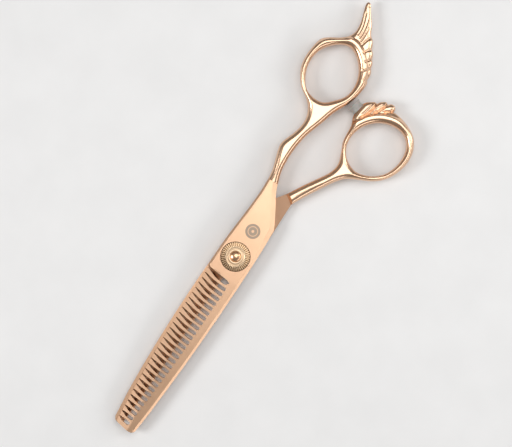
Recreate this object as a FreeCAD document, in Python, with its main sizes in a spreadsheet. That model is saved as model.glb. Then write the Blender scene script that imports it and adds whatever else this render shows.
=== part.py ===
import FreeCAD, Part
import os
import Sketcher
from FreeCAD import Vector

# Thinning shears, closed, lying on the flat head of the pivot bolt.
# The pivot axis is x = y = 0 with +Z up. The blades point along -X and the rings lie along +X, with the
# finger ring on the +Y side and the thumb ring on the -Y side. z = 0 is the back of the bolt's head.

SIZES = {
    "plain_back": 0.5,           # outer face of the plain blade
    "plain_front": 3.15,         # inner face of the plain blade
    "comb_back": 3.25,           # inner face of the toothed blade
    "comb_front": 5.8,           # outer face of the toothed blade
    "edge_chamfer": 0.45,
    "handle_bottom": 0.1,
    "handle_top": 6.3,
    "handle_rounding": 0.5,
    "plume_bottom": 1.3,         # the wing and the crest are thinner than the rings
    "plume_top": 5.3,
    "head_radius": 4.4,
    "head_height": 0.9,
    "head_hole_radius": 4.46,
    "key_radius": 3.2,
    "key_width": 5.0,
    "keyway_radius": 3.25,
    "keyway_width": 5.1,
    "journal_radius": 2.6,
    "journal_top": 4.95,
    "drive_radius": 2.45,
    "drive_width": 4.0,
    "drive_top": 5.45,
    "thread_radius": 1.95,
    "dome_radius": 3.2,          # ball radius of the bolt's domed end
    "dome_top": 6.6,
    "spanner_hole_radius": 0.55,
    "spanner_hole_depth": 0.5,
    "spanner_hole_offset": 2.7,
    "bush_bore": 2.65,
    "bush_radius": 3.4,
    "flange_radius": 4.6,
    "flange_height": 0.25,
    "seat_radius": 5.45,
    "seat_floor": 4.6,
    "washer_bore": 3.5,
    "washer_radius": 5.0,
    "washer_sink": 0.25,         # how deep the blade washer sits in each blade
    "spring_bore": 2.75,
    "spring_height": 0.25,
    "click_radius": 4.9,
    "click_height": 0.25,
    "dial_radius": 5.25,
    "dial_bottom": 5.48,
    "dial_rim": 6.0,
    "dial_top": 6.35,
    "dial_bore": 2.0,
    "collar_radius": 2.75,
    "collar_groove": 3.15,
    "serration_inner": 3.6,
    "serration_half_width": 0.3,
    "serration_depth": 0.42,
    "serration_count": 40,
    "bumper_radius": 2.75,
    "bumper_height": 2.9,
    "bumper_cup_radius": 1.9,
    "bumper_cup_depth": 0.6,
    "bumper_mid": 3.2,
    "bumper_start": 0.35,        # along the line of the stop, from its base point
    "stop_screw_start": -5.5,
    "stop_screw_radius": 0.6,
    "stop_screw_length": 6.7,
    "stop_screw_hole_radius": 0.65,
    "stop_screw_head_radius": 0.9,
    "stop_screw_head_height": 0.6,
    "stop_screw_head_hole_radius": 0.95,
}

# The comb's slots and the ground bevel behind each cutting edge
SLOT_COUNT = 30
SLOT_PITCH = 2.11
SLOT_WIDTH = 1.35
FIRST_SLOT_X = -10.6             # left wall of the slot nearest the pivot
SLOT_MOUTH = 0.35                # width left between the tooth tips
TIP_X = -73.6
HEEL_X = -8.4
BEVEL_RUN = 5.2
TOOTH_TIP_LEFT = 1.7             # thickness left at the tooth tips
CUTTING_EDGE_LEFT = 0.55         # thickness left at the plain blade's edge
TIP_THINNING = 0.8               # how much thinner each blade is at its tip
OVERCUT = 1.0                    # how far a cut runs past the faces it removes

doc = FreeCAD.newDocument("ThinningShears")
sheet = doc.addObject("Spreadsheet::Sheet", "Sizes")
parts = []


def fill_sheet():
    for row, (alias, value) in enumerate(SIZES.items(), start=1):
        sheet.set(f"A{row}", alias)
        sheet.set(f"B{row}", str(value))
        sheet.setAlias(f"B{row}", alias)
    doc.recompute()


# ---------------------------------------------------------------- sketch and feature helpers

def new_body(label):
    body = doc.addObject("PartDesign::Body", label + "_body")
    body.Label = label
    parts.append(body)
    return body


def new_sketch(body, name, role="XY_Plane", height=None):
    """A sketch on one of the body's origin planes, raised by a sheet expression."""
    plane = next(f for f in body.Origin.OriginFeatures if f.Role == role)
    sketch = body.newObject("Sketcher::SketchObject", name)
    sketch.AttachmentSupport = [(plane, "")]
    sketch.MapMode = "FlatFace"
    if height:
        sketch.setExpression(".AttachmentOffset.Base.z", height)
    return sketch


def draw(sketch, stretches):
    """A closed outline: two points make a line, three or more a smooth curve through them."""
    for points in stretches:
        spots = [Vector(x, y, 0) for x, y in points]
        if len(spots) == 2:
            sketch.addGeometry(Part.LineSegment(spots[0], spots[1]), False)
        else:
            curve = Part.BSplineCurve()
            curve.interpolate(spots)
            sketch.addGeometry(curve, False)


def polygon(sketch, corners):
    draw(sketch, list(zip(corners, corners[1:] + corners[:1])))


def circle(sketch, alias, x=0.0, y=0.0):
    """A circle whose radius is bound to a cell of the sheet."""
    index = sketch.addGeometry(Part.Circle(Vector(x, y, 0), Vector(0, 0, 1), SIZES[alias]), False)
    constraint = sketch.addConstraint(Sketcher.Constraint("Radius", index, SIZES[alias]))
    sketch.setExpression(f"Constraints[{constraint}]", "Sizes." + alias)


def pad(body, sketch, length):
    feature = body.newObject("PartDesign::Pad", sketch.Name + "_pad")
    feature.Profile = sketch
    feature.setExpression("Length", length)
    doc.recompute()
    return feature


def pocket(body, sketch, length, upward=True):
    """Cut from the sketch along its normal, and make sure that material went."""
    before = body.Shape.Volume
    feature = body.newObject("PartDesign::Pocket", sketch.Name + "_cut")
    feature.Profile = sketch
    feature.Reversed = upward
    feature.setExpression("Length", length)
    doc.recompute()
    if body.Shape.Volume > before - 0.001:
        raise RuntimeError(feature.Name + " cuts nothing")
    return feature


def dress(body, kind, alias, wanted):
    """Fillet or chamfer the edges that the test picks."""
    tip = body.Tip
    names = [f"Edge{i}" for i, edge in enumerate(tip.Shape.Edges, start=1) if wanted(edge)]
    feature = body.newObject("PartDesign::" + kind, body.Label + "_" + kind.lower())
    feature.Base = (tip, names)
    feature.setExpression("Radius" if kind == "Fillet" else "Size", "Sizes." + alias)
    doc.recompute()
    return feature


def is_flat_edge(edge, height):
    box = edge.BoundBox
    return abs(box.ZMin - height) < 0.001 and abs(box.ZMax - height) < 0.001


# ---------------------------------------------------------------- solids round the pivot

def cylinder(name, radius, height, base):
    """A cylinder on the pivot axis, each size a sheet expression."""
    item = doc.addObject("Part::Cylinder", name)
    item.setExpression("Radius", radius)
    item.setExpression("Height", height)
    item.setExpression("Placement.Base.z", base)
    return item


def two_flats(name, radius, width, height, base):
    """A cylinder with two flats, the section that stops a bolt from turning."""
    rod = cylinder(name + "_round", radius, height, base)
    block = doc.addObject("Part::Box", name + "_block")
    block.setExpression("Length", f"({radius}) * 2")
    block.setExpression("Width", width)
    block.setExpression("Height", height)
    block.setExpression("Placement.Base.x", f"-({radius})")
    block.setExpression("Placement.Base.y", f"-({width}) / 2")
    block.setExpression("Placement.Base.z", base)
    keyed = doc.addObject("Part::Common", name)
    keyed.Base = rod
    keyed.Tool = block
    return keyed


def cut(name, base, tool):
    item = doc.addObject("Part::Cut", name)
    item.Base = base
    item.Tool = tool
    return item


def fuse(name, shapes):
    item = doc.addObject("Part::MultiFuse", name)
    item.Shapes = shapes
    return item


def keep(item, label):
    item.Label = label
    parts.append(item)


def ring(label, outer, inner, height, base):
    rim = cylinder(label + "_outer", outer, height, base)
    hole = cylinder(label + "_hole", inner, height, base)
    keep(cut(label + "_solid", rim, hole), label)


# ---------------------------------------------------------------- blades

def slot_root_y(x):
    """The slots' roots follow the blade's spine."""
    return -3.65 + 2.7 * ((-10.0 - x) / 62.0) ** 2.0


def slot_outline(x_left):
    """One claw-shaped slot: its left wall sweeps towards the pivot and nearly meets the right one at the edge."""
    root = slot_root_y(x_left)
    radius = SLOT_WIDTH / 2.0
    foot_y = root + radius
    lean = 2.1 - 1.0 * (-10.0 - x_left) / 62.0
    top_y = 6.3 - 2.4 * ((-10.0 - x_left) / 62.0) ** 2.0
    middle_y = (foot_y + top_y) / 2.0
    left = [(x_left, foot_y), (x_left + lean * 0.22, middle_y), (x_left + lean, top_y)]
    right = [(x_left + SLOT_WIDTH, foot_y), (x_left + SLOT_WIDTH + lean * 0.1, middle_y),
             (x_left + lean + SLOT_MOUTH, top_y)]
    mouth = [(x_left + lean, top_y + OVERCUT), (x_left + lean + SLOT_MOUTH, top_y + OVERCUT)]
    walls = [left, [left[-1], mouth[0]], mouth, [mouth[1], right[-1]], right[::-1]]
    return walls, (x_left + radius, root, radius)


def add_slots(body):
    sketch = new_sketch(body, "comb_slots")
    for number in range(SLOT_COUNT):
        outline, (middle, root, radius) = slot_outline(FIRST_SLOT_X - number * SLOT_PITCH)
        draw(sketch, outline)
        arc = Part.Arc(
            Vector(middle - radius, root + radius, 0),
            Vector(middle, root, 0),
            Vector(middle + radius, root + radius, 0),
        )
        sketch.addGeometry(arc, False)
    pocket(body, sketch, "Sizes.handle_top")


def add_heel_gap(body):
    """The gap between the first tooth and the shoulder of the ricasso."""
    sketch = new_sketch(body, "heel_gap")
    draw(sketch, [
        [(-9.6, -3.3), (-9.0, -3.2), (-8.75, -2.6), (-8.5, 0.0), (-8.1, 4.0), (-7.7, 6.2)],
        [(-7.7, 6.2), (-7.7, 7.4)],
        [(-7.7, 7.4), (-8.3, 7.4)],
        [(-8.3, 7.4), (-8.9, 4.4), (-9.6, 1.0)],
        [(-9.6, 1.0), (-9.6, -3.3)],
    ])
    pocket(body, sketch, "Sizes.handle_top")


def add_bevel(body, name, heel_edge_y, tip_edge_y, face, inner, outward, edge_left):
    """Grind the outer face down towards the edge, from the heel to the tip."""
    slope = (abs(face - inner) - edge_left) / BEVEL_RUN
    past = BEVEL_RUN + 2.5
    sections = []
    for place, x, edge_y in (("heel", HEEL_X, heel_edge_y), ("tip", TIP_X - OVERCUT, tip_edge_y)):
        side = 1.0 if heel_edge_y > 3.0 else -1.0
        start_y = edge_y - side * BEVEL_RUN
        sketch = new_sketch(body, f"{name}_{place}", "YZ_Plane")
        sketch.AttachmentOffset = FreeCAD.Placement(Vector(0, 0, x), FreeCAD.Rotation())
        top = face + outward * OVERCUT
        polygon(sketch, [
            (start_y - side * OVERCUT / slope, top),
            (start_y + side * past, face - outward * slope * past),
            (start_y + side * past, top),
        ])
        sections.append(sketch)
    before = body.Shape.Volume
    loft = body.newObject("PartDesign::SubtractiveLoft", name)
    loft.Profile = sections[0]
    loft.Sections = [sections[1]]
    loft.Ruled = True
    doc.recompute()
    if body.Shape.Volume > before - 1.0:
        raise RuntimeError(name + " cuts nothing")


def thin_to_tip(body, name, face, outward):
    """Thin the blade evenly from the pivot to the tip."""
    sketch = new_sketch(body, name, "XZ_Plane")
    polygon(sketch, [
        (HEEL_X, face),
        (TIP_X - OVERCUT, face - outward * TIP_THINNING),
        (TIP_X - OVERCUT, face + outward * OVERCUT),
        (HEEL_X, face + outward * OVERCUT),
    ])
    feature = body.newObject("PartDesign::Pocket", name + "_cut")
    feature.Profile = sketch
    feature.Type = "ThroughAll"
    feature.SideType = "Symmetric"
    doc.recompute()


def comb_blade():
    body = new_body("comb_blade")
    outline = new_sketch(body, "comb_outline", height="Sizes.comb_back")
    draw(outline, [
        [(-72.4, -4.05), (-60, -5.1), (-40, -6.2), (-20, -6.8), (0, -6.95), (11, -6.8), (15.2, -6.5)],
        [(15.2, -6.5), (20, -4.0), (26, -0.4), (30, 1.4)],
        [(30, 1.4), (30, 5.4)],
        [(30, 5.4), (25, 5.2), (15, 5.7), (5, 6.45), (-7.8, 6.75)],
        [(-7.8, 6.75), (-7.9, 6.2)],
        [(-7.9, 6.2), (-20, 6.15), (-40, 5.85), (-60, 4.75), (-71.9, 3.7)],
        [(-71.9, 3.7), (-72.7, 3.4), (-73.2, 1.0), (TIP_X, -2.0), (-73.3, -3.3), (-72.4, -4.05)],
    ])
    pad(body, outline, "Sizes.comb_front - Sizes.comb_back")
    thin_to_tip(body, "comb_thinning", SIZES["comb_front"], 1.0)
    dress(body, "Chamfer", "edge_chamfer", is_comb_outer_edge)
    add_bevel(body, "comb_bevel", 6.2, 3.7, SIZES["comb_front"], SIZES["comb_back"], 1.0, TOOTH_TIP_LEFT)
    add_slots(body)
    add_heel_gap(body)
    bore = new_sketch(body, "comb_bore")
    circle(bore, "bush_radius")
    pocket(body, bore, "Sizes.handle_top")
    seat = new_sketch(body, "dial_seat", height="Sizes.seat_floor")
    circle(seat, "seat_radius")
    pocket(body, seat, "Sizes.handle_top - Sizes.seat_floor")
    recess = new_sketch(body, "comb_washer_recess", height="Sizes.comb_back")
    circle(recess, "washer_radius")
    pocket(body, recess, "Sizes.washer_sink")


def is_comb_outer_edge(edge):
    box = edge.BoundBox
    lies_on_face = box.ZMin > SIZES["comb_front"] - TIP_THINNING - 0.1
    is_spine = box.YMax < 1.5 and box.XLength > 5.0
    is_ricasso_top = box.XMax > 29.0 and box.XLength > 1.0
    return lies_on_face and (is_spine or is_ricasso_top)


def straight_blade():
    body = new_body("straight_blade")
    outline = new_sketch(body, "plain_outline", height="Sizes.plain_back")
    draw(outline, [
        [(-71.5, 4.95), (-60, 6.05), (-40, 6.95), (-20, 7.1), (-8, 6.85), (4, 6.2), (16, 4.4), (26, -1.0)],
        [(26, -1.0), (28.8, -3.1)],
        [(28.8, -3.1), (26.5, -6.6)],
        [(26.5, -6.6), (12, -6.7)],
        [(12, -6.7), (2, -6.7), (-4, -5.4), (-8.2, -0.3)],
        [(-8.2, -0.3), (-25, 0.0), (-50, 0.3), (-65, 0.9), (-72, 1.3)],
        [(-72, 1.3), (-72.9, 1.8), (-73.1, 2.6), (-72.7, 4.2), (-71.5, 4.95)],
    ])
    pad(body, outline, "Sizes.plain_front - Sizes.plain_back")
    thin_to_tip(body, "plain_thinning", SIZES["plain_back"], -1.0)
    add_bevel(body, "plain_bevel", -0.3, 1.3, SIZES["plain_back"], SIZES["plain_front"], -1.0,
              CUTTING_EDGE_LEFT)
    head_seat = new_sketch(body, "head_seat", height="Sizes.head_height")
    circle(head_seat, "head_hole_radius")
    pocket(body, head_seat, "Sizes.head_height", upward=False)
    recess = new_sketch(body, "plain_washer_recess", height="Sizes.plain_front - Sizes.washer_sink")
    circle(recess, "washer_radius")
    pocket(body, recess, "Sizes.washer_sink")
    keyway = new_sketch(body, "keyway")
    half_width = SIZES["keyway_width"] / 2.0
    half_chord = (SIZES["keyway_radius"] ** 2 - half_width ** 2) ** 0.5
    corners = [(half_chord, half_width), (-half_chord, half_width)]
    draw(keyway, [corners, [(-x, -y) for x, y in corners]])
    for side in (-1.0, 1.0):
        keyway.addGeometry(Part.Arc(
            Vector(side * half_chord, -half_width, 0),
            Vector(side * SIZES["keyway_radius"], 0, 0),
            Vector(side * half_chord, half_width, 0),
        ), False)
    pocket(body, keyway, "Sizes.handle_top")


# ---------------------------------------------------------------- handles

def handle(label, outline, opening, cut_face_x):
    """A shank and ring of even thickness with rounded edges, open through the ring."""
    body = new_body(label)
    sketch = new_sketch(body, label + "_outline", height="Sizes.handle_bottom")
    draw(sketch, outline)
    pad(body, sketch, "Sizes.handle_top - Sizes.handle_bottom")
    (x, y), long_radius, short_radius = opening
    hole = new_sketch(body, label + "_opening")
    hole.addGeometry(Part.Ellipse(Vector(x, y, 0), long_radius, short_radius), False)
    pocket(body, hole, "Sizes.handle_top + 1")
    faces = (SIZES["handle_bottom"], SIZES["handle_top"])
    dress(body, "Fillet", "handle_rounding", lambda edge: edge.BoundBox.XMax > cut_face_x + 1.5
          and any(is_flat_edge(edge, face) for face in faces))
    return body


def plume(body, name, outline):
    """A thinner feathered plate that stands out from the ring."""
    sketch = new_sketch(body, name, height="Sizes.plume_bottom")
    draw(sketch, outline)
    pad(body, sketch, "Sizes.plume_top - Sizes.plume_bottom")


FINGER_OUTLINE = [
    [(30, 1.4), (35, 2.9), (43, 3.3), (50, 2.4), (57, 0.2), (63, -1.6), (69, -4.4), (75, -5.3), (81, -4.1),
     (86.5, 0.2), (88.6, 5.5), (87.2, 10.7), (84.6, 14.6), (82, 17.3), (75, 18.2), (68.5, 16.9), (64, 13.4),
     (61, 8.9), (57.5, 6.4), (54, 5.8), (49, 6.6), (42.7, 8.7), (38, 7.3), (34, 6.1), (30, 5.4)],
    [(30, 5.4), (30, 1.4)],
]
FINGER_OPENING = ((74.3, 6.7), 11.3, 9.15)

WING_OUTLINE = [
    [(76, -4.6), (76.5, -5.9)],
    [(76.5, -5.9), (78, -5.6), (79, -5.1)],
    [(79, -5.1), (81.5, -4.9), (83.2, -3.9)],
    [(83.2, -3.9), (84.6, -3.5), (86.1, -2.5)],
    [(86.1, -2.5), (87.6, -1.7), (89.1, -0.5)],
    [(89.1, -0.5), (91.2, 0.8), (92.9, 2.6)],
    [(92.9, 2.6), (96, 4.0), (99.3, 6.5), (103.2, 9.1)],
    [(103.2, 9.1), (103.3, 9.9), (102.4, 10.35)],
    [(102.4, 10.35), (97, 8.7), (92.5, 7.9), (89, 9.0), (86.8, 11.0)],
    [(86.8, 11.0), (86.8, 4.5), (84, -0.9), (76, -4.6)],
]

THUMB_OUTLINE = [
    [(28.8, -3.1), (33, -5.4), (40, -9.6), (44, -12.0), (48, -12.8), (53, -10.9), (57, -9.5), (62, -9.1),
     (67, -10.0), (71, -13.0), (73.6, -17.0), (74.4, -21.3), (72.6, -27.8), (68.5, -32.0), (62, -33.5),
     (55, -31.6), (50.4, -27.8), (47.6, -22.6), (45.2, -18.1), (40, -14.1), (33, -9.9), (26.5, -6.6)],
    [(26.5, -6.6), (28.8, -3.1)],
]
THUMB_OPENING = ((59.7, -21.2), 10.4, 9.8)

CREST_OUTLINE = [
    [(61, -10.0), (62, -9.2)],
    [(62, -9.2), (65.5, -8.1), (71, -8.8), (74.0, -12.0)],
    [(74.0, -12.0), (75.1, -13.6), (76.0, -15.5)],
    [(76.0, -15.5), (76.8, -17.6), (76, -19.1), (74.4, -19.4)],
    [(74.4, -19.4), (73.2, -19.6)],
    [(73.2, -19.6), (71.4, -15.0), (68, -12.0), (61, -10.0)],
]

# The soft stop stands on the crest and leans a little towards the tip of the crest.
STOP_BASE = Vector(68.35, -8.75, 0)
STOP_DIRECTION = Vector(0.2, 0.98, 0)


def finger_handle():
    body = handle("finger_handle", FINGER_OUTLINE, FINGER_OPENING, 30.0)
    plume(body, "wing", WING_OUTLINE)


def thumb_handle():
    body = handle("thumb_handle", THUMB_OUTLINE, THUMB_OPENING, 28.8)
    plume(body, "crest", CREST_OUTLINE)
    start, screw = SIZES["bumper_start"], SIZES["stop_screw_start"]
    head_end = screw + SIZES["stop_screw_head_height"]
    bore_on_stop_line(body, "stop_seat", "bumper_radius", start, start + OVERCUT * 3)
    bore_on_stop_line(body, "stop_hole", "stop_screw_hole_radius", screw, start + OVERCUT)
    bore_on_stop_line(body, "stop_head_hole", "stop_screw_head_hole_radius", screw - OVERCUT * 2, head_end)


# ---------------------------------------------------------------- pivot pieces and stop

def pivot_bolt():
    head = cylinder("bolt_head", "Sizes.head_radius", "Sizes.head_height", "0")
    key = two_flats("bolt_key", "Sizes.key_radius", "Sizes.key_width",
                    "Sizes.plain_front - Sizes.head_height", "Sizes.head_height")
    journal = cylinder("bolt_journal", "Sizes.journal_radius",
                       "Sizes.journal_top - Sizes.plain_front", "Sizes.plain_front")
    drive = two_flats("bolt_drive", "Sizes.drive_radius", "Sizes.drive_width",
                      "Sizes.drive_top - Sizes.journal_top", "Sizes.journal_top")
    stud = cylinder("bolt_stud", "Sizes.thread_radius", "Sizes.dome_top - Sizes.drive_top", "Sizes.drive_top")
    ball = doc.addObject("Part::Sphere", "bolt_ball")
    ball.setExpression("Radius", "Sizes.dome_radius")
    ball.setExpression("Placement.Base.z", "Sizes.dome_top - Sizes.dome_radius")
    domed = doc.addObject("Part::Common", "bolt_dome")
    domed.Base = stud
    domed.Tool = ball
    whole = fuse("bolt_whole", [head, key, journal, drive, domed])
    holes = []
    for side in (-1, 1):
        hole = cylinder(f"spanner_hole_{(side + 3) // 2}", "Sizes.spanner_hole_radius",
                        "Sizes.spanner_hole_depth", "0")
        hole.setExpression("Placement.Base.x", f"{side} * Sizes.spanner_hole_offset")
        holes.append(hole)
    keep(cut("bolt_drilled", whole, fuse("spanner_holes", holes)), "pivot_bolt")


def pivot_bushing():
    sleeve = cylinder("bush_sleeve", "Sizes.bush_radius", "Sizes.seat_floor - Sizes.comb_back", "Sizes.comb_back")
    flange = cylinder("bush_flange", "Sizes.flange_radius", "Sizes.flange_height", "Sizes.seat_floor")
    hole = cylinder("bush_hole", "Sizes.bush_bore", "Sizes.handle_top", "0")
    keep(cut("bush_solid", fuse("bush_whole", [sleeve, flange]), hole), "pivot_bushing")


def click_spring():
    """The detent plate, with a hole that fits the bolt's two flats."""
    plate = cylinder("click_disc", "Sizes.click_radius", "Sizes.click_height",
                     "Sizes.drive_top - Sizes.click_height")
    hole = two_flats("click_hole", "Sizes.drive_radius + 0.05", "Sizes.drive_width + 0.1",
                     "Sizes.handle_top", "0")
    keep(cut("click_solid", plate, hole), "click_spring")


def tension_dial():
    body = new_body("tension_dial")
    section = new_sketch(body, "dial_section", "XZ_Plane")
    low, rim, top = SIZES["dial_bottom"], SIZES["dial_rim"], SIZES["dial_top"]
    bore, collar, groove = SIZES["dial_bore"], SIZES["collar_radius"], SIZES["collar_groove"]
    inner, outer = SIZES["serration_inner"], SIZES["dial_radius"]
    polygon(section, [(bore, low), (outer, low), (outer, rim), (inner, top), (groove, top),
                      (groove, rim), (collar, rim), (collar, top), (bore, top)])
    turned = body.newObject("PartDesign::Revolution", "dial_turned")
    turned.Profile = section
    turned.ReferenceAxis = (section, ["V_Axis"])
    turned.Angle = 360
    doc.recompute()
    notch = new_sketch(body, "dial_notch", "YZ_Plane", "Sizes.serration_inner")
    half_width, over_top = SIZES["serration_half_width"], top + 0.02
    polygon(notch, [(-half_width, over_top), (0.0, top - SIZES["serration_depth"]), (half_width, over_top)])
    first = pocket(body, notch, "Sizes.dial_radius")
    pattern = body.newObject("PartDesign::PolarPattern", "dial_serrations")
    pattern.Originals = [first]
    axis = next(f for f in body.Origin.OriginFeatures if f.Role == "Z_Axis")
    pattern.Axis = (axis, [""])
    pattern.Angle = 360
    pattern.setExpression("Occurrences", "Sizes.serration_count")
    body.Tip = pattern
    doc.recompute()


def on_stop_line(item, along):
    """Lay a cylinder along the line of the stop, so far from its base point."""
    place = STOP_BASE + STOP_DIRECTION * along + Vector(0, 0, SIZES["bumper_mid"])
    item.Placement = FreeCAD.Placement(place, FreeCAD.Rotation(Vector(0, 0, 1), STOP_DIRECTION))


def bore_on_stop_line(body, name, radius, start, end):
    """A round cut in the body along the line of the stop."""
    before = body.Shape.Volume
    bore = body.newObject("PartDesign::SubtractiveCylinder", name)
    bore.setExpression("Radius", "Sizes." + radius)
    bore.Height = end - start
    on_stop_line(bore, start)
    doc.recompute()
    if body.Shape.Volume > before - 0.01:
        raise RuntimeError(name + " cuts nothing")


def rod_on_stop_line(name, radius, height, along):
    rod = doc.addObject("Part::Cylinder", name)
    rod.setExpression("Radius", radius)
    rod.setExpression("Height", height)
    on_stop_line(rod, along)
    return rod


def bumper_and_screw():
    start, screw_start = SIZES["bumper_start"], SIZES["stop_screw_start"]
    cup_start = start + SIZES["bumper_height"] - SIZES["bumper_cup_depth"]
    puck = rod_on_stop_line("bumper_puck", "Sizes.bumper_radius", "Sizes.bumper_height", start)
    cup = rod_on_stop_line("bumper_cup", "Sizes.bumper_cup_radius", "Sizes.bumper_cup_depth * 2", cup_start)
    shank = rod_on_stop_line("screw_shank", "Sizes.stop_screw_radius", "Sizes.stop_screw_length", screw_start)
    head = rod_on_stop_line("screw_head", "Sizes.stop_screw_head_radius", "Sizes.stop_screw_head_height",
                            screw_start)
    keep(cut("bumper_solid", cut("bumper_cupped", puck, cup), shank), "bumper")
    keep(fuse("screw_solid", [shank, head]), "bumper_screw")


# ---------------------------------------------------------------- build and export

def check_model():
    for item in doc.Objects:
        if "Invalid" in item.State or "Error" in item.State:
            raise RuntimeError(f"{item.Name} ({item.Label}) failed: {item.State}")
    for item in parts:
        if item.Shape.isNull() or not item.Shape.isValid():
            raise RuntimeError(item.Label + " has no valid shape")
        print(item.Label, round(item.Shape.Volume, 1), len(item.Shape.Solids))


def export_parts():
    os.makedirs("parts", exist_ok=True)
    for item in parts:
        item.Shape.exportStep("parts/" + item.Label + ".step")


fill_sheet()
comb_blade()
straight_blade()
finger_handle()
thumb_handle()
pivot_bolt()
pivot_bushing()
ring("blade_washer", "Sizes.washer_radius - 0.05", "Sizes.washer_bore",
     "Sizes.comb_back - Sizes.plain_front + 2 * Sizes.washer_sink", "Sizes.plain_front - Sizes.washer_sink")
ring("spring_washer", "Sizes.flange_radius", "Sizes.spring_bore",
     "Sizes.spring_height", "Sizes.seat_floor + Sizes.flange_height + 0.05")
click_spring()
tension_dial()
bumper_and_screw()
doc.recompute()
check_model()
export_parts()
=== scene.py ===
import math

import bmesh
import bpy
import numpy as np
from mathutils import Matrix, Vector
from mathutils.geometry import delaunay_2d_cdt


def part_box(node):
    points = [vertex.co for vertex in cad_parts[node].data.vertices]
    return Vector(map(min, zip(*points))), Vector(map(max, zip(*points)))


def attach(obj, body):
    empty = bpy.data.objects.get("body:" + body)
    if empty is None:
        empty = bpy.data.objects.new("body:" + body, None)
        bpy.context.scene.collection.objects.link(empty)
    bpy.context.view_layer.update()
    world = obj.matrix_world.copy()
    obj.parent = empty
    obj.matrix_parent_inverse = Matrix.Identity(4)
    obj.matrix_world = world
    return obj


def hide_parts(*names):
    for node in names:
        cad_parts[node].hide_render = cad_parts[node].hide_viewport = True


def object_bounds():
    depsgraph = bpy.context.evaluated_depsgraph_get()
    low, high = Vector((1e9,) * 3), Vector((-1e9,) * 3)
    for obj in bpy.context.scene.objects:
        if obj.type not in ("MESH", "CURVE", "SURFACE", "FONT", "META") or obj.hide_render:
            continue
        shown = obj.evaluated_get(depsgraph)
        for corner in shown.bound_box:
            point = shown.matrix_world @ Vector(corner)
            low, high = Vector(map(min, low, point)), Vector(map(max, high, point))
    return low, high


MM = 0.001
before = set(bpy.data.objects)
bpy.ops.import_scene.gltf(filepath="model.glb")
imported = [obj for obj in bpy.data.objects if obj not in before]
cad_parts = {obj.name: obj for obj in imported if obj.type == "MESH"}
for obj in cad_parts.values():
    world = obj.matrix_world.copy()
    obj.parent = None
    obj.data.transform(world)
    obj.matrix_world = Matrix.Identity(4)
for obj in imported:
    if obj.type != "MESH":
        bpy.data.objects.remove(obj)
cad_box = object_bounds()
bpy.context.scene.view_settings.view_transform = "Standard"


# ---------------------------------------------------------------- material helpers

def new_material(name):
    material = bpy.data.materials.new(name)
    material.use_nodes = True
    return material, material.node_tree.nodes, material.node_tree.links


def scaled_coordinates(nodes, links, scale, turn=0.0):
    place = nodes.new("ShaderNodeTexCoord")
    mapping = nodes.new("ShaderNodeMapping")
    mapping.inputs["Scale"].default_value = scale
    mapping.inputs["Rotation"].default_value = (0, 0, turn)
    links.new(place.outputs["Object"], mapping.inputs["Vector"])
    return mapping.outputs["Vector"]


def noise(nodes, links, vector, scale, detail=3.0, roughness=0.5):
    item = nodes.new("ShaderNodeTexNoise")
    item.inputs["Scale"].default_value = scale
    item.inputs["Detail"].default_value = detail
    item.inputs["Roughness"].default_value = roughness
    links.new(vector, item.inputs["Vector"])
    return item.outputs["Fac"]


def ramp(nodes, links, factor, stops):
    item = nodes.new("ShaderNodeValToRGB")
    while len(item.color_ramp.elements) < len(stops):
        item.color_ramp.elements.new(0.5)
    for element, (place, color) in zip(item.color_ramp.elements, stops):
        element.position = place
        element.color = (*color, 1.0)
    links.new(factor, item.inputs["Fac"])
    return item.outputs["Color"]


def map_range(nodes, links, value, low, high):
    item = nodes.new("ShaderNodeMapRange")
    item.inputs["To Min"].default_value = low
    item.inputs["To Max"].default_value = high
    links.new(value, item.inputs["Value"])
    return item.outputs["Result"]


def bump(nodes, links, shader, height, strength, distance):
    item = nodes.new("ShaderNodeBump")
    item.inputs["Strength"].default_value = strength
    item.inputs["Distance"].default_value = distance
    links.new(height, item.inputs["Height"])
    links.new(item.outputs["Normal"], shader.inputs["Normal"])


def rose_metal(name, dark, light, grain_scale, rough_low, rough_high, grain_bump):
    """Rose gold coated steel: a fine grain changes its tint, its gloss and its surface."""
    material, nodes, links = new_material(name)
    shader = nodes["Principled BSDF"]
    shader.inputs["Metallic"].default_value = 1.0
    grain = noise(nodes, links, scaled_coordinates(nodes, links, grain_scale), 1.0, 4.0, 0.6)
    cloud = noise(nodes, links, scaled_coordinates(nodes, links, (90.0, 90.0, 90.0)), 1.0)
    links.new(ramp(nodes, links, cloud, [(0.3, dark), (0.7, light)]), shader.inputs["Base Color"])
    links.new(map_range(nodes, links, grain, rough_low, rough_high), shader.inputs["Roughness"])
    bump(nodes, links, shader, grain, grain_bump, 0.00002)
    return material


MARK_CENTRE = (0.0110, -0.0003, 0.0058)
MARK_RADIUS = 0.0027
RIDE_LINE_Y = 0.0059              # the back edge of the teeth, straight up to the bend
RIDE_LINE_BLEND = 0.0002
RIDE_LINE_BEND_X = -0.030
RIDE_LINE_BEND = 1.39             # how fast it curves away past the bend, per metre
SERRATIONS = 40
SERRATION_INNER = 0.0036
SERRATION_SHADE_SHARE = 0.12      # half the width of the painted shade on a serration's floor, as a share of the pitch


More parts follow.
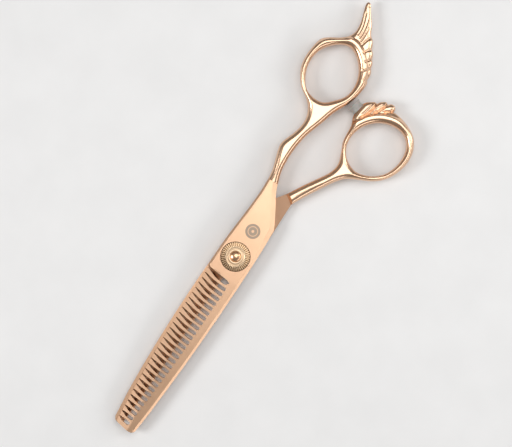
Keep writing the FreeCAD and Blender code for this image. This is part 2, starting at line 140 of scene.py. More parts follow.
def satin_blade_metal():
    """Satin blade steel with a plain etched roundel on the ricasso."""
    material = rose_metal("satin_rose_blade", (0.72, 0.455, 0.29), (0.78, 0.50, 0.325),
                          (9000.0, 400.0, 2000.0), 0.30, 0.44, 0.25)
    nodes, links = material.node_tree.nodes, material.node_tree.links
    shader = nodes["Principled BSDF"]
    place = nodes.new("ShaderNodeTexCoord")
    gap = nodes.new("ShaderNodeVectorMath")
    gap.operation = "DISTANCE"
    gap.inputs[1].default_value = MARK_CENTRE
    links.new(place.outputs["Object"], gap.inputs[0])
    bands = nodes.new("ShaderNodeMapRange")
    bands.inputs["From Max"].default_value = MARK_RADIUS * 1.25
    links.new(gap.outputs["Value"], bands.inputs["Value"])
    mask = ramp(nodes, links, bands.outputs["Result"], [
        (0.0, (0.2, 0.2, 0.2)), (0.14, (0.2, 0.2, 0.2)), (0.17, (1.0, 1.0, 1.0)), (0.45, (1.0, 1.0, 1.0)),
        (0.48, (0.3, 0.3, 0.3)), (0.54, (0.3, 0.3, 0.3)), (0.57, (1.0, 1.0, 1.0)), (0.79, (1.0, 1.0, 1.0)),
        (0.82, (0.0, 0.0, 0.0))])
    paint_over(nodes, links, shader, "Base Color", mask, (0.30, 0.235, 0.18, 1.0))
    return material


def arithmetic(nodes, links, operation, first, second):
    """A maths node; each operand is a number or another node's output."""
    item = nodes.new("ShaderNodeMath")
    item.operation = operation
    for socket, operand in zip(item.inputs, (first, second)):
        if isinstance(operand, (int, float)):
            socket.default_value = operand
        else:
            links.new(operand, socket)
    return item.outputs["Value"]


def coordinates_apart(nodes, links):
    place = nodes.new("ShaderNodeTexCoord")
    parts = nodes.new("ShaderNodeSeparateXYZ")
    links.new(place.outputs["Object"], parts.inputs["Vector"])
    return parts.outputs["X"], parts.outputs["Y"]


def painted_shade_blade_metal():
    """The plain blade in painted shade: a darker, browner copy of the blade colour and a duller grind on
    its inside, up to the polished ride line at its back, which is painted in the lighter blade colour.
    """
    # Painted shade: this darker, browner base colour stands for the shade that falls on the inner face down
    # in the slots.
    material = rose_metal("painted_shade_rose_blade", (0.30, 0.18, 0.115), (0.36, 0.22, 0.14),
                          (400.0, 9000.0, 2000.0), 0.34, 0.48, 0.25)
    nodes, links = material.node_tree.nodes, material.node_tree.links
    x, y = coordinates_apart(nodes, links)
    beyond = arithmetic(nodes, links, "SUBTRACT", RIDE_LINE_BEND_X, x)
    past_bend = arithmetic(nodes, links, "MAXIMUM", beyond, 0.0)
    squared = arithmetic(nodes, links, "POWER", past_bend, 2.0)
    fall = arithmetic(nodes, links, "MULTIPLY", squared, RIDE_LINE_BEND)
    back = nodes.new("ShaderNodeMapRange")
    back.inputs["From Min"].default_value = RIDE_LINE_Y
    back.inputs["From Max"].default_value = RIDE_LINE_Y + RIDE_LINE_BLEND
    links.new(arithmetic(nodes, links, "ADD", y, fall), back.inputs["Value"])
    # The ride line is painted in the plain lighter blade colour, clear of the painted shade.
    paint_over(nodes, links, nodes["Principled BSDF"], "Base Color", back.outputs["Result"],
               (0.75, 0.48, 0.31, 1.0))
    return material


def serrated_metal():
    """The dial: duller gold, with painted shade along the floors of its radial serrations."""
    material = rose_metal("serrated_rose_dial", (0.66, 0.48, 0.31), (0.72, 0.53, 0.35),
                          (3000.0, 3000.0, 3000.0), 0.26, 0.38, 0.10)
    nodes, links = material.node_tree.nodes, material.node_tree.links
    x, y = coordinates_apart(nodes, links)
    turn = arithmetic(nodes, links, "ARCTAN2", y, x)
    share = arithmetic(nodes, links, "MULTIPLY", turn, SERRATIONS / math.tau)
    shifted = arithmetic(nodes, links, "ADD", share, SERRATIONS + 0.5)
    off_floor = arithmetic(nodes, links, "PINGPONG", shifted, 0.5)
    x_squared = arithmetic(nodes, links, "POWER", x, 2.0)
    y_squared = arithmetic(nodes, links, "POWER", y, 2.0)
    radius_squared = arithmetic(nodes, links, "ADD", x_squared, y_squared)
    outside = arithmetic(nodes, links, "GREATER_THAN", radius_squared, SERRATION_INNER ** 2)
    floor = arithmetic(nodes, links, "LESS_THAN", off_floor, SERRATION_SHADE_SHARE)
    mask = arithmetic(nodes, links, "MULTIPLY", outside, floor)
    # Painted shade: the serration floors get a dark colour that stands for the shade in the grooves, on top
    # of the shallow grooves in the mesh.
    paint_over(nodes, links, nodes["Principled BSDF"], "Base Color", mask, (0.27, 0.19, 0.12, 1.0))
    return material


def paint_over(nodes, links, shader, socket, mask, color):
    """Mix a colour over what already feeds the socket."""
    under = shader.inputs[socket].links[0].from_socket
    mix = nodes.new("ShaderNodeMix")
    mix.data_type = "RGBA"
    links.new(mask, mix.inputs["Factor"])
    links.new(under, mix.inputs[6])
    mix.inputs[7].default_value = color
    links.new(mix.outputs[2], shader.inputs[socket])


def polished_handle_metal():
    return rose_metal("polished_rose_handle", (0.76, 0.50, 0.335), (0.82, 0.55, 0.375),
                      (1500.0, 1500.0, 1500.0), 0.19, 0.28, 0.05)


def turned_metal():
    return rose_metal("turned_rose_pivot", (0.78, 0.47, 0.28), (0.84, 0.52, 0.32),
                      (3000.0, 3000.0, 3000.0), 0.20, 0.32, 0.10)


def plain_steel():
    return rose_metal("spring_steel", (0.50, 0.50, 0.51), (0.62, 0.62, 0.63),
                      (4000.0, 4000.0, 4000.0), 0.22, 0.40, 0.10)


def bronze():
    return rose_metal("bush_bronze", (0.48, 0.30, 0.12), (0.60, 0.40, 0.18),
                      (3000.0, 3000.0, 3000.0), 0.25, 0.45, 0.12)


def plastic(name, dark, light, rough):
    material, nodes, links = new_material(name)
    shader = nodes["Principled BSDF"]
    grain = noise(nodes, links, scaled_coordinates(nodes, links, (2500.0, 2500.0, 2500.0)), 1.0)
    links.new(ramp(nodes, links, grain, [(0.3, dark), (0.7, light)]), shader.inputs["Base Color"])
    links.new(map_range(nodes, links, grain, rough - 0.08, rough + 0.08), shader.inputs["Roughness"])
    bump(nodes, links, shader, grain, 0.2, 0.00002)
    return material, shader


def silicone():
    material, shader = plastic("bumper_silicone", (0.40, 0.385, 0.355), (0.50, 0.485, 0.45), 0.3)
    shader.inputs["Transmission Weight"].default_value = 0.2
    shader.inputs["Subsurface Weight"].default_value = 0.3
    shader.inputs["Subsurface Scale"].default_value = 0.001
    shader.inputs["IOR"].default_value = 1.42
    return material


def paper_floor():
    material, nodes, links = new_material("pale_floor")
    shader = nodes["Principled BSDF"]
    grain = noise(nodes, links, scaled_coordinates(nodes, links, (60.0, 60.0, 60.0)), 1.0)
    links.new(ramp(nodes, links, grain, [(0.3, (0.80, 0.80, 0.80)), (0.7, (0.83, 0.83, 0.83))]),
              shader.inputs["Base Color"])
    shader.inputs["Roughness"].default_value = 0.8
    return material


def paint(name, material):
    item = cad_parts[name]
    item.data.materials.clear()
    item.data.materials.append(material)


# ---------------------------------------------------------------- outlines, in millimetres

def sample_stretch(points, step):
    """Points along a smooth curve through the given ones, or along a straight line if there are two."""
    knots = np.array(points, float)
    if len(knots) == 2:
        count = max(int(np.linalg.norm(knots[1] - knots[0]) / step), 1)
        share = np.linspace(0.0, 1.0, count + 1)[:, None]
        return knots[0] * (1.0 - share) + knots[1] * share
    first = 2.0 * knots[0] - knots[1]
    last = 2.0 * knots[-1] - knots[-2]
    if np.allclose(knots[0], knots[-1]):
        first, last = knots[-2], knots[1]
    guide = np.vstack([first, knots, last])
    pieces = []
    for a, b, c, d in zip(guide, guide[1:], guide[2:], guide[3:]):
        count = max(int(np.linalg.norm(c - b) / step), 2)
        pieces.append(catmull_rom(a, b, c, d, np.linspace(0.0, 1.0, count, endpoint=False)))
    return np.vstack(pieces + [knots[-1:]])


def catmull_rom(a, b, c, d, share):
    """Centripetal Catmull-Rom between b and c."""
    gaps = [max(np.linalg.norm(q - p) ** 0.5, 1e-4) for p, q in ((a, b), (b, c), (c, d))]
    times = np.cumsum([0.0] + gaps)
    time = (times[1] + (times[2] - times[1]) * share)[:, None]

    def mix(p, q, low, high):
        return p * (high - time) / (high - low) + q * (time - low) / (high - low)

    near = mix(mix(a, b, times[0], times[1]), mix(b, c, times[1], times[2]), times[0], times[2])
    far = mix(mix(b, c, times[1], times[2]), mix(c, d, times[2], times[3]), times[1], times[3])
    return mix(near, far, times[1], times[2])


def ease(path, rounds):
    """Even out the bends of a path and leave its ends in place."""
    path = path.copy()
    for _ in range(rounds):
        path[1:-1] = (path[:-2] + 2.0 * path[1:-1] + path[2:]) / 4.0
    return path


def smooth_stretch(points, step):
    """A sampled stretch; long curves are eased so that polished faces reflect evenly."""
    path = sample_stretch(points, step)
    return ease(path, 30 if len(points) > 6 else 2)


def close_loop(stretches, step):
    """One closed loop of points from the stretches of an outline."""
    return np.vstack([smooth_stretch(points, step)[:-1] for points in stretches])


def distance_to(points, path, closed=False):
    """The distance of each point from a path of straight runs."""
    starts = path if closed else path[:-1]
    ends = np.roll(path, -1, axis=0) if closed else path[1:]
    run = ends - starts
    length = np.maximum((run ** 2).sum(axis=1), 1e-12)
    nearest = np.full(len(points), 1e9)
    for block in range(0, len(points), 4000):
        part = points[block:block + 4000, None, :]
        share = np.clip(((part - starts) * run).sum(axis=2) / length, 0.0, 1.0)
        gap = np.linalg.norm(part - (starts + share[:, :, None] * run), axis=2)
        nearest[block:block + 4000] = gap.min(axis=1)
    return nearest


def is_inside(points, loop):
    """Even-odd test of points against a closed loop."""
    inside = np.zeros(len(points), bool)
    for (ax, ay), (bx, by) in zip(loop, np.roll(loop, -1, axis=0)):
        if ay == by:
            continue
        crosses = (ay > points[:, 1]) != (by > points[:, 1])
        inside ^= crosses & (points[:, 0] < (bx - ax) * (points[:, 1] - ay) / (by - ay) + ax)
    return inside


def in_region(points, loops):
    result = is_inside(points, loops[0])
    for hole in loops[1:]:
        result &= ~is_inside(points, hole)
    return result


def inward_normals(loop, loops):
    along = np.roll(loop, -1, axis=0) - np.roll(loop, 1, axis=0)
    along /= np.maximum(np.linalg.norm(along, axis=1), 1e-9)[:, None]
    across = np.stack([-along[:, 1], along[:, 0]], axis=1)
    wrong = ~in_region(loop + across * 0.02, loops)
    across[wrong] *= -1.0
    return across


EDGE_STEPS = (0.05, 0.15, 0.3, 0.5, 0.7, 0.95, 1.2, 1.45, 1.7, 1.95)


def fill_points(loops, spacing, fine_from=None):
    """Rows of points that follow the edges, then an even grid inside, finer past fine_from."""
    rows = []
    for loop in loops:
        across = inward_normals(loop, loops)
        for depth in EDGE_STEPS:
            row = loop + across * depth
            clear = np.min([distance_to(row, other, True) for other in loops], axis=0)
            rows.append(row[(clear > depth * 0.93) & in_region(row, loops)])
    low, high = loops[0].min(axis=0), loops[0].max(axis=0)
    clear_of_rows = EDGE_STEPS[-1] + spacing * 0.4
    rows.append(even_grid(low, high, spacing, loops, clear_of_rows))
    if fine_from:
        low = np.array(fine_from)
        rows.append(even_grid(low, high, FINE_GRID, loops, 0.25))
    return np.vstack(rows)


def even_grid(low, high, spacing, loops, margin):
    """Staggered rows of points inside the region, clear of its edges."""
    x, y = np.meshgrid(np.arange(low[0], high[0], spacing), np.arange(low[1], high[1], spacing))
    x[1::2] += spacing / 2.0
    grid = np.stack([x.ravel(), y.ravel()], axis=1)
    grid = grid[in_region(grid, loops)]
    clear = np.min([distance_to(grid, loop, True) for loop in loops], axis=0)
    return grid[clear > margin]


def triangulate(loops, spacing, fine_from=None, creases=()):
    """Fill the region between the loops with triangles: points and faces."""
    inner = np.vstack([fill_points(loops, spacing, fine_from), *creases])
    points = np.vstack(loops + [inner])
    edges = []
    start = 0
    for loop in loops:
        numbers = np.arange(start, start + len(loop))
        edges += list(zip(numbers.tolist(), np.roll(numbers, -1).tolist()))
        start += len(loop)
    result = delaunay_2d_cdt([Vector(p) for p in points], edges, [], 0, 1e-5)
    flat = np.array([tuple(p) for p in result[0]])
    faces = np.array([face for face in result[2]])
    faces = faces[in_region(flat[faces].mean(axis=1), loops)]
    return flat, faces


def rim_edges(faces):
    """Directed edges that only one triangle uses."""
    sides = {}
    for a, b, c in faces.tolist():
        for edge in ((a, b), (b, c), (c, a)):
            sides[edge] = True
    return [edge for edge in sides if (edge[1], edge[0]) not in sides]


def rounded_share(depth, radius):
    """From 0 at an edge to 1 where its rounding ends, along a quarter ellipse."""
    share = np.clip(1.0 - depth / radius, 0.0, 1.0)
    return np.sqrt(1.0 - share ** 2)


def smoothstep(low, high, value):
    share = np.clip((value - low) / (high - low), 0.0, 1.0)
    return share * share * (3.0 - 2.0 * share)


def groove(points, path, width, depth, step=0.25):
    """A round-bottomed groove along a smooth path, fading at its start."""
    route = sample_stretch(path, step)
    gap = distance_to(points, route)
    fade = smoothstep(0.0, 1.2, np.linalg.norm(points - route[0], axis=1) + 0.25)
    return depth * np.exp(-(gap / width) ** 2) * fade


def solid_from_heights(name, flat, faces, top, bottom):
    """A closed mesh between two height fields over the same triangles."""
    form = bmesh.new()
    upper = [form.verts.new((x * MM, y * MM, z * MM)) for (x, y), z in zip(flat, top)]
    lower = [form.verts.new((x * MM, y * MM, z * MM)) for (x, y), z in zip(flat, bottom)]
    for a, b, c in faces.tolist():
        form.faces.new((upper[a], upper[b], upper[c]))
        form.faces.new((lower[c], lower[b], lower[a]))
    for a, b in rim_edges(faces):
        form.faces.new((upper[b], upper[a], lower[a], lower[b]))
    loose = [vert for vert in form.verts if not vert.link_faces]
    bmesh.ops.delete(form, geom=loose, context="VERTS")
    bmesh.ops.recalc_face_normals(form, faces=form.faces)
    data = bpy.data.meshes.new(name)
    form.to_mesh(data)
    form.free()
    piece = bpy.data.objects.new(name, data)
    bpy.context.collection.objects.link(piece)
    return piece


def shade(piece, material, body, slot, *nodes, angle=35.0):
    """Smooth shading with sharp creases, a material, a body and the CAD nodes that it stands for."""
    piece.data.materials.append(material)
    piece.data.shade_smooth()
    piece.data.set_sharp_from_angle(angle=math.radians(angle))
    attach(piece, body)
    if nodes:
        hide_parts(*nodes)


# ---------------------------------------------------------------- handles

STEP = 0.25
GRID = 0.34
FINE_GRID = 0.17                 # where the feathers are
MID = (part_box("finger_handle")[0].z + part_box("finger_handle")[1].z) / 2.0 / MM
HALF = (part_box("finger_handle")[1].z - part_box("finger_handle")[0].z) / 2.0 / MM

EDGE_HALF = 1.2                  # half the thickness left at the rounded edges
EDGE_ROUNDING = 1.9
PLUME_DROP = 0.95                # how far the wing and the crest lie below the ring
WING_TIP_DROP = 0.9
FINGER_CUT = 7                   # the straight stretch where each casting meets its blade
THUMB_CUT = 6
WING_CORNER = (76.5, -6.0)       # the low corner of each feathered part
CREST_CORNER = (61.0, -20.0)
SHOULDER_RUN = 1.1               # the ramp up from the plain blade's face to the thumb shank

FINGER_OUTLINE = [
    [(30, 1.4), (35, 2.9), (43, 3.3), (50, 2.4), (57, 0.2), (63, -1.6), (69, -4.5), (73, -5.4),
     (76.2, -5.8)],
    [(76.2, -5.8), (77.8, -5.7), (79, -5.1)],
    [(79, -5.1), (81.4, -5.0), (83.2, -3.9)],
    [(83.2, -3.9), (84.8, -3.5), (86.1, -2.5)],
    [(86.1, -2.5), (87.8, -1.8), (89.1, -0.5)],
    [(89.1, -0.5), (91.4, 0.6), (92.7, 1.9)],
    [(92.7, 1.9), (93.0, 2.7), (95.6, 3.7), (98.5, 5.9), (101.5, 8.0), (102.9, 8.8), (103.35, 9.6),
     (102.5, 10.35), (99.5, 9.6), (96, 8.4), (92, 7.85), (89.6, 8.4), (87.6, 10.0), (86, 12.1), (84, 15.5),
     (82.4, 17.1), (79.5, 17.8), (74.5, 18.2), (70.5, 17.7), (67, 15.9), (64, 13.4), (61.5, 9.6), (59, 7.3),
     (56, 6.0), (53, 5.8), (49, 6.6), (45, 8.1), (42.7, 8.65), (40, 8.0), (36, 6.7), (33, 5.8), (30, 5.4)],
    [(30, 5.4), (30, 1.4)],
]
FINGER_HOLE = [
    [(63.1, 7.4), (64.2, 11.2), (67.2, 13.8), (71.2, 15.5), (75.5, 15.85), (79.5, 14.7), (82.8, 12.1),
     (85.1, 8.9), (85.6, 6.0), (84.0, 2.8), (81, -0.1), (77.5, -1.9), (73, -2.5), (69.5, -1.7),
     (66.2, 1.0), (63.6, 3.7), (63.1, 7.4)],
]
WING_GROOVES = [
    ([(77.6, -3.6), (78.4, -4.4), (79.1, -5.2)], 0.30, 0.28),
    ([(80.6, -1.9), (82.0, -3.0), (83.3, -4.0)], 0.32, 0.32),
    ([(83.5, -0.5), (85.0, -1.6), (86.2, -2.6)], 0.32, 0.34),
    ([(86.3, 1.5), (87.8, 0.5), (89.2, -0.6)], 0.34, 0.36),
    ([(88.2, 3.4), (90.4, 2.9), (92.8, 1.9)], 0.36, 0.40),
    ([(88.8, 4.5), (91.5, 4.4), (94.6, 4.6)], 0.30, 0.24),
    ([(89.6, 5.4), (93.0, 5.5), (97.5, 6.6), (101.0, 8.4)], 0.34, 0.28),
    ([(90.2, 6.5), (94.0, 6.8), (99.0, 8.4)], 0.30, 0.22),
]

THUMB_OUTLINE = [
    [(28.8, -3.1), (35, -6.6), (40, -9.7), (44, -12.0), (48, -12.8), (52, -11.4), (56, -9.7), (60, -9.35),
     (62, -9.15)],
    [(62, -9.15), (63.5, -8.6), (65.6, -7.9), (71.1, -8.5)],
    [(71.1, -8.5), (72.2, -9.3), (73.4, -10.9), (74.0, -12.0), (73.8, -12.6)],
    [(73.8, -12.6), (75.2, -13.7), (76.1, -15.3), (75.6, -16.0)],
    [(75.6, -16.0), (76.6, -17.4), (76.3, -18.8), (75.3, -19.4), (74.5, -19.4)],
    [(74.5, -19.4), (74.4, -21.3), (73.3, -25.7), (70.6, -30.4), (66.8, -32.8), (62, -33.5), (57, -32.4),
     (52.6, -30.0), (49.8, -26.9), (47.4, -22.3), (45.4, -18.4), (42.6, -15.7), (38, -12.9), (32, -9.4),
     (26.5, -6.6)],
    [(26.5, -6.6), (28.8, -3.1)],
]
THUMB_HOLE = [
    [(49.1, -19.4), (50.2, -23.9), (53.4, -28.3), (57.6, -30.4), (62, -31.0), (66.4, -30.0), (69.4, -27.2),
     (70.2, -22.8), (68.8, -17.7), (65.8, -14.1), (62, -12.0), (58, -11.3), (54.2, -12.1), (51, -14.7),
     (49.1, -19.4)],
]
CREST_GROOVES = [
    ([(65.6, -10.3), (68.8, -11.8), (71.5, -12.4), (74.0, -12.6)], 0.42, 0.60),
    ([(69.6, -13.2), (72.4, -14.8), (75.8, -16.1)], 0.42, 0.60),
    ([(72.0, -16.0), (73.4, -17.6), (74.7, -19.5)], 0.40, 0.55),
    ([(67.2, -10.0), (70.0, -10.9), (73.4, -11.4)], 0.30, 0.22),
    ([(71.2, -13.3), (73.4, -14.2), (75.4, -14.9)], 0.30, 0.20),
]


def casting(outline, hole, cut_stretch, plume_corner, grooves):
    """Half thicknesses of a cast handle: rounded edges and a thinner grooved plume."""
    loops = [close_loop(outline, STEP), close_loop(hole, STEP)]
    flat, faces = triangulate(loops, GRID, plume_corner)
    edges = [points for number, points in enumerate(outline) if number != cut_stretch]
    rounded = [smooth_stretch(points, STEP) for points in edges]
    to_outer = np.min([distance_to(flat, path) for path in rounded], axis=0)
    to_hole = distance_to(flat, loops[1], True)
    plume = smoothstep(2.4, 3.6, to_hole) * smoothstep(plume_corner[0], plume_corner[0] + 3.0, flat[:, 0])
    crown = HALF - PLUME_DROP * plume
    crown -= WING_TIP_DROP * plume * smoothstep(88.0, 103.0, flat[:, 0])
    from_blade = smoothstep(28.0, 40.0, flat[:, 0])
    crown -= BLADE_STEP * (1.0 - from_blade)
    edge = EDGE_HALF - 0.4 * plume
    share = rounded_share(to_outer, EDGE_ROUNDING) * rounded_share(to_hole, EDGE_ROUNDING)
    heights = edge + (crown - edge) * share
    for path, width, depth in grooves:
        heights -= groove(flat, path, width, depth)
    return flat, faces, np.maximum(heights, 0.3)


def finger_casting():
    flat, faces, heights = casting(FINGER_OUTLINE, FINGER_HOLE, FINGER_CUT, WING_CORNER, WING_GROOVES)
    piece = solid_from_heights("finger_handle_cast", flat, faces, MID + heights, MID - heights)
    shade(piece, handle_metal, "comb_half", "handle_steel", "finger_handle")


def thumb_casting():
    flat, faces, heights = casting(THUMB_OUTLINE, THUMB_HOLE, THUMB_CUT, CREST_CORNER, CREST_GROOVES)
    shoulder = distance_to(flat, np.array(THUMB_OUTLINE[THUMB_CUT]))
    step = PLAIN_FRONT + 0.1 - MID + 3.0 * np.clip(shoulder / SHOULDER_RUN, 0.0, 1.0) ** 0.8
    top = np.where(shoulder < SHOULDER_RUN, np.minimum(heights, step), heights)
    piece = solid_from_heights("thumb_handle_cast", flat, faces, MID + top, MID - heights)
    shade(piece, handle_metal, "thumb_half", "handle_steel", "thumb_handle")


# ---------------------------------------------------------------- toothed blade

COMB_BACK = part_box("comb_blade")[0].z / MM
COMB_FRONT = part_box("comb_blade")[1].z / MM
PLAIN_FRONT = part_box("straight_blade")[1].z / MM
BLADE_STEP = MID + HALF - COMB_FRONT
SEAT_RADIUS = 5.45
SLOT_COUNT = 30
SLOT_PITCH = 2.11
SLOT_WIDTH = 1.35
SLOT_MOUTH = 0.35
FIRST_SLOT_X = -10.6
HEEL_X = -8.4
BLADED_LENGTH = 65.0
TIP_THINNING = 0.8
BEVEL_RUN = 5.2
BEVEL_SLOPE = 0.16

SPINE = [(-72.4, -4.05), (-66, -4.7), (-60, -5.1), (-50, -5.7), (-40, -6.2), (-30, -6.55), (-20, -6.8),
         (-10, -6.9), (0, -6.95), (8, -6.85), (15.2, -6.5)]
DIAGONAL = [(15.2, -6.5), (17, -5.7), (20, -4.0), (23, -2.25), (26, -0.4), (28, 0.7), (30, 1.4)]
RICASSO_TOP = [(30, 5.4), (25, 5.25), (20, 5.4), (15, 5.7), (10, 6.1), (5, 6.45), (0, 6.65), (-7.7, 6.75)]
TOOTH_LINE = [(-7.9, 6.2), (-20, 6.15), (-30, 6.05), (-40, 5.85), (-50, 5.4), (-60, 4.75), (-71.9, 3.7)]
COMB_TIP = [(-71.9, 3.7), (-72.7, 3.4), (-73.2, 1.0), (-73.6, -2.0), (-73.3, -3.3), (-72.4, -4.05)]


def tooth_line_y(x):
    line = np.array(TOOTH_LINE)[::-1]
    return float(np.interp(x, line[:, 0], line[:, 1]))


def slot_path(x_left):
    """Down the right wall of a claw-shaped slot, round its root and up its left wall."""
    share = (-10.0 - x_left) / 62.0
    radius = SLOT_WIDTH / 2.0
    root = -3.65 + 2.7 * share ** 2
    foot = root + radius
    lean = 2.1 - 1.0 * share
    top = tooth_line_y(x_left + lean)
    middle = (foot + top) / 2.0
    right = [(x_left + lean + SLOT_MOUTH, top), (x_left + SLOT_WIDTH + lean * 0.1, middle),
             (x_left + SLOT_WIDTH, foot)]
    left = [(x_left, foot), (x_left + lean * 0.22, middle), (x_left + lean, top)]
    turn = np.linspace(0.0, -math.pi, 9)
    arc = np.stack([x_left + radius + radius * np.cos(turn), foot + radius * np.sin(turn)], axis=1)
    wall = 0.3
    return np.vstack([sample_stretch(right, wall)[:-1], arc, sample_stretch(left, wall)[1:]])


HEEL_GAP = [(-7.7, 6.2), (-8.1, 4.0), (-8.5, 0.0), (-8.8, -2.4), (-9.3, -3.5)]


def comb_loop():
    """The whole toothed outline, walked from the spine round the ricasso and along the teeth."""
    walk = [smooth_stretch(SPINE, STEP)[:-1], smooth_stretch(DIAGONAL, STEP)[:-1],
            sample_stretch([(30, 1.4), (30, 5.4)], STEP)[:-1], smooth_stretch(RICASSO_TOP, STEP)[:-1],
            sample_stretch([(-7.7, 6.75), (-7.7, 6.2)], STEP)[:-1]]
    first = slot_path(FIRST_SLOT_X)
    gap = smooth_stretch(HEEL_GAP, STEP)
    joins = first[(first[:, 0] < -9.5) | (first[:, 1] < -3.0)]
    walk += [gap, first[len(first) - len(joins):]]
    for number in range(1, SLOT_COUNT):
        walk.append(slot_path(FIRST_SLOT_X - number * SLOT_PITCH))
    walk.append(smooth_stretch(COMB_TIP, STEP)[:-1])
    return np.vstack(walk)


def chamfer(depth, width, drop):
    """How far a flat ground chamfer falls towards its edge."""
    return drop * np.clip(1.0 - depth / width, 0.0, 1.0)


def spine_chamfer_width(x):
    return 0.85 + 0.8 * smoothstep(0.0, 14.0, x)


def comb_casting():
    outer = comb_loop()
    turn = np.linspace(0.0, math.tau, 120, endpoint=False)
    seat = SEAT_RADIUS * np.stack([np.cos(turn), np.sin(turn)], axis=1)
    spine = np.vstack([smooth_stretch(SPINE, STEP), smooth_stretch(DIAGONAL, STEP)[1:]])
    along = np.gradient(spine, axis=0)
    across = np.stack([-along[:, 1], along[:, 0]], axis=1) / np.linalg.norm(along, axis=1)[:, None]
    crease = spine + across * spine_chamfer_width(spine[:, 0])[:, None]
    ricasso = smooth_stretch(RICASSO_TOP, STEP)
    flat, faces = triangulate([outer, seat], 0.8, None, [crease[5:-3]])
    x, y = flat[:, 0], flat[:, 1]
    thinning = TIP_THINNING * np.clip((HEEL_X - x) / BLADED_LENGTH, 0.0, 1.0)
    line = np.array(TOOTH_LINE)[::-1]
    to_tooth_tips = np.interp(x, line[:, 0], line[:, 1]) - y
    bevel = np.where(x < -8.0, BEVEL_SLOPE * np.clip(BEVEL_RUN - to_tooth_tips, 0.0, 9.0), 0.0)
    top = COMB_FRONT - thinning - bevel
    top -= chamfer(distance_to(flat, spine), spine_chamfer_width(x), 0.58 * spine_chamfer_width(x))
    top -= chamfer(distance_to(flat, ricasso), 0.75, 0.75)
    piece = solid_from_heights("comb_blade_ground", flat, faces, top, np.full(len(flat), COMB_BACK))
    shade(piece, blade_metal, "comb_half", "blade_steel", "comb_blade", angle=12.0)


# ---------------------------------------------------------------- plain blade

PLAIN_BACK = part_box("straight_blade")[0].z / MM
PLAIN_OUTLINE = [
    [(-71.5, 4.95), (-66, 5.5), (-60, 6.05), (-50, 6.6), (-40, 6.95), (-30, 7.1), (-20, 7.1), (-8, 6.85),
     (4, 6.2), (16, 4.4), (22, 2.0), (26, -1.0)],
    [(26, -1.0), (28.8, -3.1)],
    [(28.8, -3.1), (26.5, -6.6)],
    [(26.5, -6.6), (12, -6.7)],
    [(12, -6.7), (2, -6.7), (-4, -5.4), (-8.2, -0.3)],
    [(-8.2, -0.3), (-16, -0.15), (-25, 0.0), (-38, 0.1), (-50, 0.3), (-58, 0.6), (-65, 0.9), (-72, 1.3)],
    [(-72, 1.3), (-72.9, 1.8), (-73.1, 2.6), (-72.7, 4.2), (-71.5, 4.95)],
]
HOLLOW_DEPTH = 0.9
CUTTING_EDGE_LEFT = 0.55
HEAD_SEAT_RADIUS = 4.46


def plain_casting():
    """The plain blade: hollow ground inside, bevelled outside towards its edge."""
    outer = close_loop(PLAIN_OUTLINE, STEP)
    turn = np.linspace(0.0, math.tau, 90, endpoint=False)
    seat = HEAD_SEAT_RADIUS * np.stack([np.cos(turn), np.sin(turn)], axis=1)
    flat, faces = triangulate([outer, seat], 0.6)
    x, y = flat[:, 0], flat[:, 1]
    edge = np.array(PLAIN_OUTLINE[5])[::-1]
    teeth = np.array(TOOTH_LINE)[::-1]
    edge_y = np.interp(x, edge[:, 0], edge[:, 1])
    teeth_y = np.interp(x, teeth[:, 0], teeth[:, 1])
    share = np.clip((y - edge_y - 0.3) / (teeth_y - edge_y - 0.6), 0.0, 1.0)
    bladed = 1.0 - smoothstep(-10.5, -8.5, x)
    ends = smoothstep(-73.0, -68.0, x)
    top = PLAIN_FRONT - HOLLOW_DEPTH * np.sin(math.pi * share ** 1.3) * bladed * ends
    thinning = TIP_THINNING * np.clip((HEEL_X - x) / BLADED_LENGTH, 0.0, 1.0)
    bottom = PLAIN_BACK + thinning
    ground = np.clip(1.0 - (y - edge_y) / BEVEL_RUN, 0.0, 1.0) * bladed
    bottom = bottom + ground * (PLAIN_FRONT - CUTTING_EDGE_LEFT - bottom)
    spine = smooth_stretch(PLAIN_OUTLINE[0], STEP)
    bottom += chamfer(distance_to(flat, spine), 0.5, 0.5)
    piece = solid_from_heights("straight_blade_ground", flat, faces, top, np.minimum(bottom, top - 0.3))
    shade(piece, painted_shade_metal, "thumb_half", "blade_steel", "straight_blade", angle=12.0)


# ---------------------------------------------------------------- turned pieces

def turned(name, profile, count, place=Matrix(), lift=None):
    """A closed profile of (radius, height) turned round the axis; lift returns what to add to a height."""
    form = bmesh.new()
    rings = []
    for step in range(count):
        angle = math.tau * step / count
        ring = []
        for radius, height in profile:
            raised = height + (lift(radius, height, angle) if lift else 0.0)
            spot = Vector((radius * math.cos(angle), radius * math.sin(angle), raised)) * MM
            ring.append(form.verts.new(place @ spot))
        rings.append(ring)
    for near, far in zip(rings, rings[1:] + rings[:1]):
        for a in range(len(profile)):
            b = (a + 1) % len(profile)
            form.faces.new((near[a], far[a], far[b], near[b]))
    bmesh.ops.recalc_face_normals(form, faces=form.faces)
    data = bpy.data.meshes.new(name)
    form.to_mesh(data)
    form.free()
    piece = bpy.data.objects.new(name, data)
    bpy.context.collection.objects.link(piece)
    return piece


DIAL_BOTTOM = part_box("tension_dial")[0].z / MM
DIAL_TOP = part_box("tension_dial")[1].z / MM


def serration(radius, height, angle):
    """How deep the dial's radial grooves lie below its sloping top."""
    if height < DIAL_TOP - 0.35 or radius < 3.5:
        return 0.0
    share = (angle * SERRATIONS / math.tau) % 1.0
    return -0.24 * max(0.0, 1.0 - abs(share - 0.5) / 0.32) * min(1.0, (radius - 3.4) / 0.4)


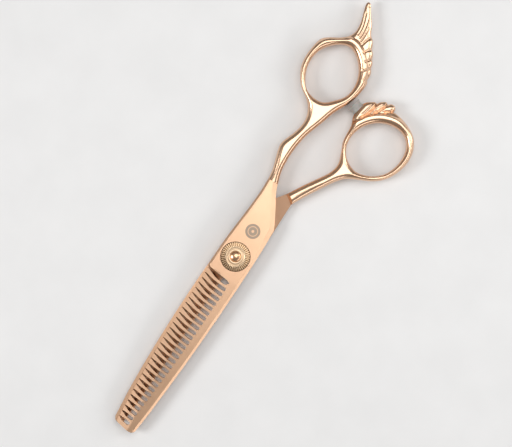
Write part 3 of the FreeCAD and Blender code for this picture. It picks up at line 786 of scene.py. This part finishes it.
def dial():
    top = DIAL_TOP
    slope = [(radius, top - 0.04 - 0.14 * (radius - 3.3) / 1.9)
             for radius in (3.3, 3.5, 3.7, 4.1, 4.6, 5.0)]
    collar = [(2.0, top - 0.15), (2.05, top - 0.03), (2.2, top), (2.5, top), (2.68, top - 0.04),
              (2.75, top - 0.15), (2.8, top - 0.38), (3.1, top - 0.38), (3.15, top - 0.1)]
    rim = [(5.15, top - 0.2), (5.25, top - 0.32), (5.25, DIAL_BOTTOM), (2.0, DIAL_BOTTOM)]
    piece = turned("tension_dial_turned", collar + slope + rim, SERRATIONS * 10, lift=serration)
    shade(piece, serrated_metal(), "dial", "pivot_steel", "tension_dial", angle=30.0)


def bumper():
    axis = Vector((0.2, 0.98, 0.0)).normalized()
    base = Vector((68.35, -8.75, 3.2)) * MM + axis * 0.35 * MM
    place = Matrix.Translation(base) @ axis.to_track_quat("Z", "X").to_matrix().to_4x4()
    profile = [(0.65, 0.05), (2.3, 0.0), (2.55, 0.12), (2.6, 0.35), (2.35, 0.9), (2.3, 1.4), (2.5, 2.1),
               (2.68, 2.6), (2.72, 2.8), (2.6, 2.9), (2.4, 2.88), (2.0, 2.55), (1.2, 2.15), (0.65, 2.1)]
    piece = turned("bumper_cup", profile, 64, place)
    shade(piece, silicone(), "thumb_half", "bumper_rubber", "bumper", angle=50.0)


# ---------------------------------------------------------------- camera and light

VIEW_CENTRE = Vector((14.0, 0.3, 3.0)) * MM
IMAGE_UP = Vector((0.838, 0.546, 0.0))
VIEW_WIDTH = 184.3 * MM
CAMERA_HEIGHT = 0.62
FLOOR_GAP = 0.0002


def add_camera():
    data = bpy.data.cameras.new("camera")
    data.sensor_width = 36.0
    data.lens = data.sensor_width * CAMERA_HEIGHT / VIEW_WIDTH
    camera = bpy.data.objects.new("camera", data)
    bpy.context.collection.objects.link(camera)
    right = IMAGE_UP.normalized().cross(Vector((0, 0, 1)))
    camera.matrix_world = Matrix((
        (right.x, IMAGE_UP.x, 0, VIEW_CENTRE.x),
        (right.y, IMAGE_UP.y, 0, VIEW_CENTRE.y),
        (0, 0, 1, VIEW_CENTRE.z + CAMERA_HEIGHT),
        (0, 0, 0, 1),
    ))
    data.clip_start = 0.01
    bpy.context.scene.camera = camera


def add_panel(name, place, target, width, height, watts, color=(1, 1, 1)):
    data = bpy.data.lights.new(name, "AREA")
    data.shape = "RECTANGLE"
    data.size = width
    data.size_y = height
    data.energy = watts
    data.color = color
    lamp = bpy.data.objects.new(name, data)
    bpy.context.collection.objects.link(lamp)
    lamp.visible_camera = False
    lamp.location = place
    lamp.rotation_euler = (Vector(target) - Vector(place)).to_track_quat("-Z", "Y").to_euler()


def add_floor():
    data = bpy.data.meshes.new("floor")
    form = bmesh.new()
    low = cad_box[0].z - FLOOR_GAP
    reach = 2.0
    corners = ((-reach, -reach), (reach, -reach), (reach, reach), (-reach, reach))
    form.faces.new([form.verts.new((x, y, low)) for x, y in corners])
    form.to_mesh(data)
    form.free()
    floor = bpy.data.objects.new("floor", data)
    bpy.context.collection.objects.link(floor)
    data.materials.append(paper_floor())


def add_world():
    world = bpy.data.worlds.new("studio")
    world.use_nodes = True
    background = world.node_tree.nodes["Background"]
    background.inputs["Color"].default_value = (1.0, 0.97, 0.94, 1.0)
    background.inputs["Strength"].default_value = 0.25
    bpy.context.scene.world = world


def add_lights():
    add_panel("overhead", (0.17, 0.0, 0.50), (0.17, 0.0, 0.0), 0.36, 0.34, 1.02)
    add_panel("key", (-0.30, 0.40, 0.45), (0.02, 0.0, 0.0), 0.25, 0.25, 1.9)
    add_panel("side", (0.45, -0.35, 0.30), (0.02, 0.0, 0.0), 0.20, 0.5, 0.9)
    add_panel("edge", (0.0, -0.50, 0.27), (0.0, 0.0, 0.0), 0.90, 0.14, 1.0)


add_camera()
add_floor()
add_world()
add_lights()
blade_metal = satin_blade_metal()
painted_shade_metal = painted_shade_blade_metal()
handle_metal = polished_handle_metal()
pivot_metal = turned_metal()
steel = plain_steel()
finger_casting()
thumb_casting()
comb_casting()
plain_casting()
dial()
bumper()
for name in ("pivot_bolt", "bumper_screw"):
    paint(name, pivot_metal)
for name in ("spring_washer", "click_spring"):
    paint(name, steel)
paint("pivot_bushing", bronze())
paint("blade_washer", plastic("washer_plastic", (0.80, 0.79, 0.74), (0.88, 0.87, 0.83), 0.5)[0])
